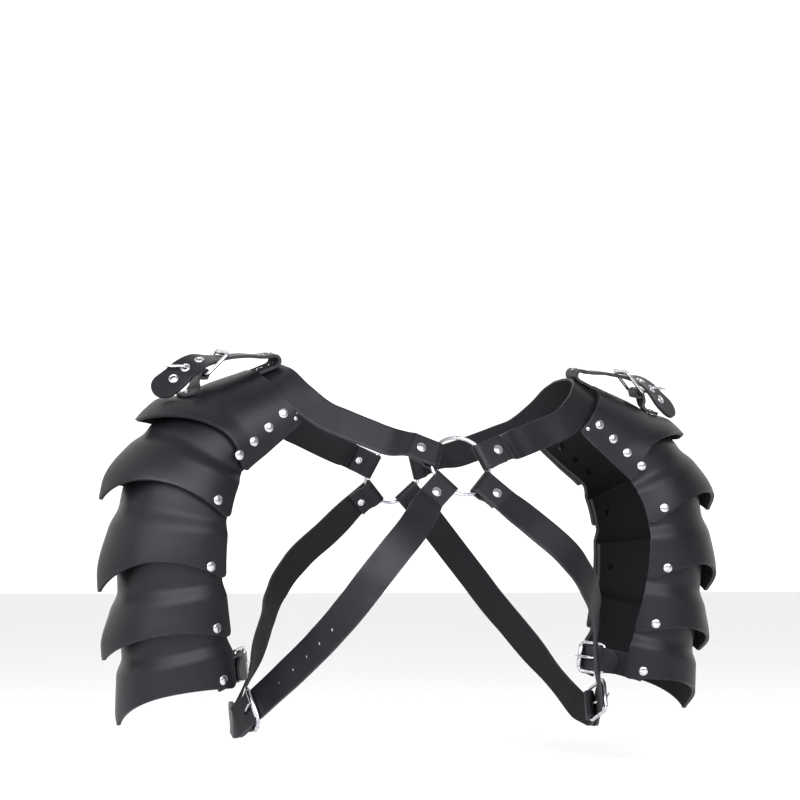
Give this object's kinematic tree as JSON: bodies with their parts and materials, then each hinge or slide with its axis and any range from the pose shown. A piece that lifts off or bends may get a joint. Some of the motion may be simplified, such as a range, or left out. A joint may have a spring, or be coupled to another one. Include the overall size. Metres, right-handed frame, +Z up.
{
  "type": "shoulder harness",
  "caption": "Leather shoulder harness: ringed straps over chest and back carry lamed plate guards that close round the upper arms.",
  "frame": {"origin": "on the wearer, midway between the two straps where they cross the shoulders", "axes": "+Z up, -Y to the wearer's front, +X to the wearer's left"},
  "size_m": [0.5568, 0.2245, 0.3122],
  "materials": {
    "leather": "smooth black leather with a soft sheen",
    "nickel": "bright nickel-plated steel"
  },
  "bodies": {
    "root": {"shoulder_strap_left": "leather", "lower_front_strap_left": "leather", "lower_back_strap_left": "leather", "plate_1_left": "leather", "plate_2_left": "leather", "plate_3_left": "leather", "plate_4_left": "leather", "plate_5_left": "leather", "arch_strap_left": "leather", "shoulder_tab_left": "leather", "arm_strap_back_left": "leather", "arm_strap_front_left": "leather", "shoulder_strap_right": "leather", "lower_front_strap_right": "leather", "lower_back_strap_right": "leather", "plate_1_right": "leather", "plate_2_right": "leather", "plate_3_right": "leather", "plate_4_right": "leather", "plate_5_right": "leather", "arch_strap_right": "leather", "shoulder_tab_right": "leather", "arm_strap_back_right": "leather", "arm_strap_front_right": "leather", "front_ring": "nickel", "back_ring": "nickel", "side_buckle_frame_left": "nickel", "side_buckle_prong_left": "nickel", "shoulder_buckle_frame_left": "nickel", "shoulder_buckle_prong_left": "nickel", "arm_buckle_frame_left": "nickel", "arm_buckle_prong_left": "nickel", "plate_rivet_1_left": "nickel", "plate_rivet_2_left": "nickel", "plate_rivet_3_left": "nickel", "plate_rivet_4_left": "nickel", "plate_rivet_5_left": "nickel", "plate_rivet_6_left": "nickel", "plate_rivet_7_left": "nickel", "plate_rivet_8_left": "nickel", "ring_rivet_upper_left": "nickel", "ring_rivet_lower_left": "nickel", "side_buckle_frame_right": "nickel", "side_buckle_prong_right": "nickel", "shoulder_buckle_frame_right": "nickel", "shoulder_buckle_prong_right": "nickel", "arm_buckle_frame_right": "nickel", "arm_buckle_prong_right": "nickel", "plate_rivet_1_right": "nickel", "plate_rivet_2_right": "nickel", "plate_rivet_3_right": "nickel", "plate_rivet_4_right": "nickel", "plate_rivet_5_right": "nickel", "plate_rivet_6_right": "nickel", "plate_rivet_7_right": "nickel", "plate_rivet_8_right": "nickel", "ring_rivet_upper_right": "nickel", "ring_rivet_lower_right": "nickel"}
  },
  "joints": []
}
